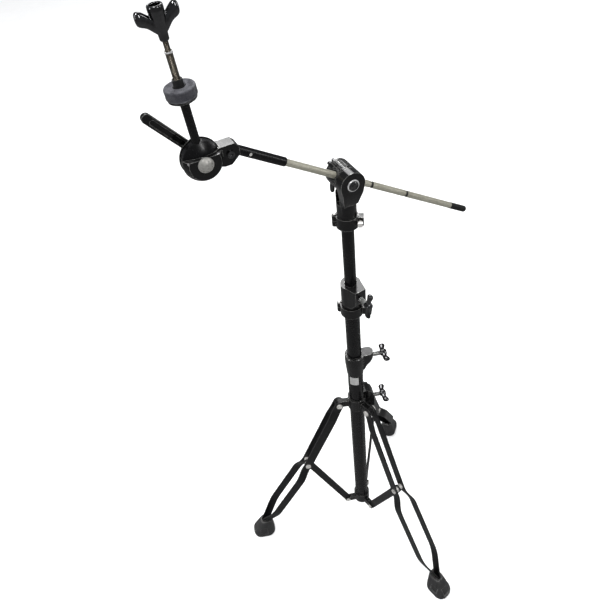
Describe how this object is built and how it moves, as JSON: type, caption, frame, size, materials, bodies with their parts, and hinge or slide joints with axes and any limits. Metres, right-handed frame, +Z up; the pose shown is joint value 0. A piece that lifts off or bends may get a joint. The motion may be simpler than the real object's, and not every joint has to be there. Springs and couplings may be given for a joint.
{
  "type": "cymbal boom stand",
  "caption": "Black folding tripod cymbal stand with telescoping column, tilting boom rod, ball tilter, felt and wing nuts.",
  "frame": {"origin": "on the floor, on the axis of the column", "axes": "+Z up along the column; the leg whose foot is opposite the clamp screws points along -X; +X is the side of the lower wing screws; millimetre source, metre row"},
  "size_m": [0.4778, 0.4796, 1.2446],
  "materials": {
    "black_tube": "gloss black plating",
    "black_casting": "gloss black, lightly rounded casting",
    "dark_chrome": "black chrome, polished",
    "leg_steel": "satin black",
    "zinc_steel": "zinc-plated, bright",
    "knurled_rod": "fine splines, olive grey",
    "bright_chrome": "polished",
    "foot_rubber": "matte, ribbed",
    "cap_rubber": "matte",
    "black_nylon": "matte",
    "grey_steel": "dull grey, threaded at the top",
    "felt": "pressed wool felt",
    "label_foil": "blank silver foil"
  },
  "bodies": {
    "base": {"base_tube": "black_tube", "foot_collar": "black_casting", "stay_pins": "zinc_steel", "lower_clamp_housing": "black_casting", "lower_bushing": "black_nylon", "blank_label": "label_foil"},
    "leg_collar": {"leg_collar": "black_casting", "leg_pins": "zinc_steel"},
    "collar_wing_screw": {"collar_wing_screw": "dark_chrome"},
    "lower_wing_screw": {"lower_wing_screw": "dark_chrome"},
    "mid_mast": {"mid_tube": "black_tube", "upper_clamp_housing": "black_casting", "upper_bushing": "black_nylon"},
    "upper_wing_screw": {"upper_wing_screw": "dark_chrome"},
    "mid_memory_lock": {"mid_lock_fixed_half": "black_casting", "mid_lock_hinged_half": "black_casting", "mid_lock_fasteners": "dark_chrome"},
    "top_memory_lock": {"top_lock_fixed_half": "black_casting", "top_lock_hinged_half": "black_casting", "top_lock_fasteners": "dark_chrome"},
    "upper_mast": {"upper_tube": "black_tube", "boom_neck": "black_casting"},
    "boom_clamp": {"clamp_drum": "black_casting", "eye_bolt": "dark_chrome"},
    "boom_wing_nut": {"boom_wing_nut": "dark_chrome"},
    "boom_rod": {"boom_rod": "knurled_rod", "boom_end_cap": "cap_rubber"},
    "boom_head": {"boom_sleeve": "black_tube", "sleeve_set_screw": "zinc_steel", "tilter_yoke": "black_casting", "tilter_front_cheek": "black_casting", "tilter_bolt": "bright_chrome", "block_screw": "zinc_steel", "friction_washers": "black_nylon"},
    "tilter_lever": {"tilter_lever": "black_casting"},
    "post": {"post_stem": "black_tube", "post_rod": "grey_steel", "felt_cup": "black_casting", "cymbal_felt": "felt", "post_sleeve": "black_nylon", "stop_ring": "bright_chrome"},
    "top_wing_nut": {"top_wing_nut": "dark_chrome"},
    "leg_1": {"leg_1_strip_a": "leg_steel", "leg_1_strip_b": "leg_steel", "leg_1_knee_bolt": "zinc_steel", "leg_1_spacers": "zinc_steel", "leg_1_foot": "foot_rubber"},
    "stay_1": {"stay_1": "leg_steel"},
    "leg_2": {"leg_2_strip_a": "leg_steel", "leg_2_strip_b": "leg_steel", "leg_2_knee_bolt": "zinc_steel", "leg_2_spacers": "zinc_steel", "leg_2_foot": "foot_rubber"},
    "stay_2": {"stay_2": "leg_steel"},
    "leg_3": {"leg_3_strip_a": "leg_steel", "leg_3_strip_b": "leg_steel", "leg_3_knee_bolt": "zinc_steel", "leg_3_spacers": "zinc_steel", "leg_3_foot": "foot_rubber"},
    "stay_3": {"stay_3": "leg_steel"}
  },
  "joints": [
    {"name": "leg_collar_slide", "type": "slide", "parent": "base", "child": "leg_collar", "axis": [0, 0, 1], "range_m": [0, 0.03178]},
    {"name": "leg_1_fold", "type": "hinge", "parent": "leg_collar", "child": "leg_1", "pos_m": [0.018, 0.03118, 0.46394], "axis": [-0.866, 0.5, 0], "range_deg": [0, 22.4]},
    {"name": "stay_1_fold", "type": "hinge", "parent": "base", "child": "stay_1", "pos_m": [0.017, 0.02944, 0.07614], "axis": [-0.866, 0.5, 0], "range_deg": [-21.95, 0]},
    {"name": "leg_2_fold", "type": "hinge", "parent": "leg_collar", "child": "leg_2", "pos_m": [-0.036, 0, 0.46394], "axis": [0, -1, 0], "range_deg": [0, 22.4]},
    {"name": "stay_2_fold", "type": "hinge", "parent": "base", "child": "stay_2", "pos_m": [-0.034, 0, 0.07614], "axis": [0, -1, 0], "range_deg": [-21.95, 0]},
    {"name": "leg_3_fold", "type": "hinge", "parent": "leg_collar", "child": "leg_3", "pos_m": [0.018, -0.03118, 0.46394], "axis": [0.866, 0.5, 0], "range_deg": [0, 22.4]},
    {"name": "stay_3_fold", "type": "hinge", "parent": "base", "child": "stay_3", "pos_m": [0.017, -0.02944, 0.07614], "axis": [0.866, 0.5, 0], "range_deg": [-21.95, 0]},
    {"name": "collar_wing_turn", "type": "hinge", "parent": "leg_collar", "child": "collar_wing_screw", "pos_m": [0.033, 0, 0.46994], "axis": [1, 0, 0], "continuous": true},
    {"name": "lower_wing_turn", "type": "hinge", "parent": "base", "child": "lower_wing_screw", "pos_m": [0.034, 0, 0.59214], "axis": [1, 0, 0], "continuous": true},
    {"name": "mid_mast_slide", "type": "slide", "parent": "base", "child": "mid_mast", "axis": [0, 0, 1], "range_m": [-0.05, 0.19]},
    {"name": "upper_wing_turn", "type": "hinge", "parent": "mid_mast", "child": "upper_wing_screw", "pos_m": [0.01078, -0.02366, 0.76114], "axis": [0.4147, -0.91, 0], "continuous": true},
    {"name": "mid_lock_slide", "type": "slide", "parent": "mid_mast", "child": "mid_memory_lock", "axis": [0, 0, 1], "range_m": [-0.05, 0]},
    {"name": "top_mast_slide", "type": "slide", "parent": "mid_mast", "child": "top_memory_lock", "axis": [0, 0, 1], "range_m": [-0.11, 0.15]},
    {"name": "boom_swivel", "type": "hinge", "parent": "top_memory_lock", "child": "upper_mast", "pos_m": [0, 0, 0.91264], "axis": [0, 0, 1], "continuous": true},
    {"name": "boom_tilt", "type": "hinge", "parent": "upper_mast", "child": "boom_clamp", "pos_m": [0, 0, 0.97364], "axis": [0.3007, -0.9537, 0], "range_deg": [-25, 90]},
    {"name": "boom_wing_turn", "type": "hinge", "parent": "boom_clamp", "child": "boom_wing_nut", "pos_m": [-0.00932, 0.02957, 0.97364], "axis": [0.3007, -0.9537, 0], "continuous": true},
    {"name": "boom_slide", "type": "slide", "parent": "boom_clamp", "child": "boom_rod", "axis": [-0.7953, -0.2508, 0.5519], "range_m": [-0.06, 0.19]},
    {"name": "boom_roll", "type": "hinge", "parent": "boom_rod", "child": "boom_head", "pos_m": [-0.13122, -0.04137, 1.06471], "axis": [-0.7953, -0.2508, 0.5519], "continuous": true},
    {"name": "post_tilt", "type": "hinge", "parent": "boom_head", "child": "post", "pos_m": [-0.17739, -0.05593, 1.07064], "axis": [0.3007, -0.9537, 0], "range_deg": [-44, 90]},
    {"name": "tilter_lever_turn", "type": "hinge", "parent": "boom_head", "child": "tilter_lever", "pos_m": [-0.18371, -0.0359, 1.07064], "axis": [0.3007, -0.9537, 0], "range_deg": [-90, 90]},
    {"name": "top_wing_nut_lift", "type": "slide", "parent": "post", "child": "top_wing_nut", "axis": [-0.0499, -0.0157, 0.9986], "range_m": [0, 0.05]}
  ],
  "couplings": [
    {"joint": "leg_1_fold", "follows": "leg_collar_slide", "rad_per_m": 12.301},
    {"joint": "stay_1_fold", "follows": "leg_collar_slide", "rad_per_m": -12.056},
    {"joint": "leg_2_fold", "follows": "leg_collar_slide", "rad_per_m": 12.301},
    {"joint": "stay_2_fold", "follows": "leg_collar_slide", "rad_per_m": -12.056},
    {"joint": "leg_3_fold", "follows": "leg_collar_slide", "rad_per_m": 12.301},
    {"joint": "stay_3_fold", "follows": "leg_collar_slide", "rad_per_m": -12.056}
  ]
}
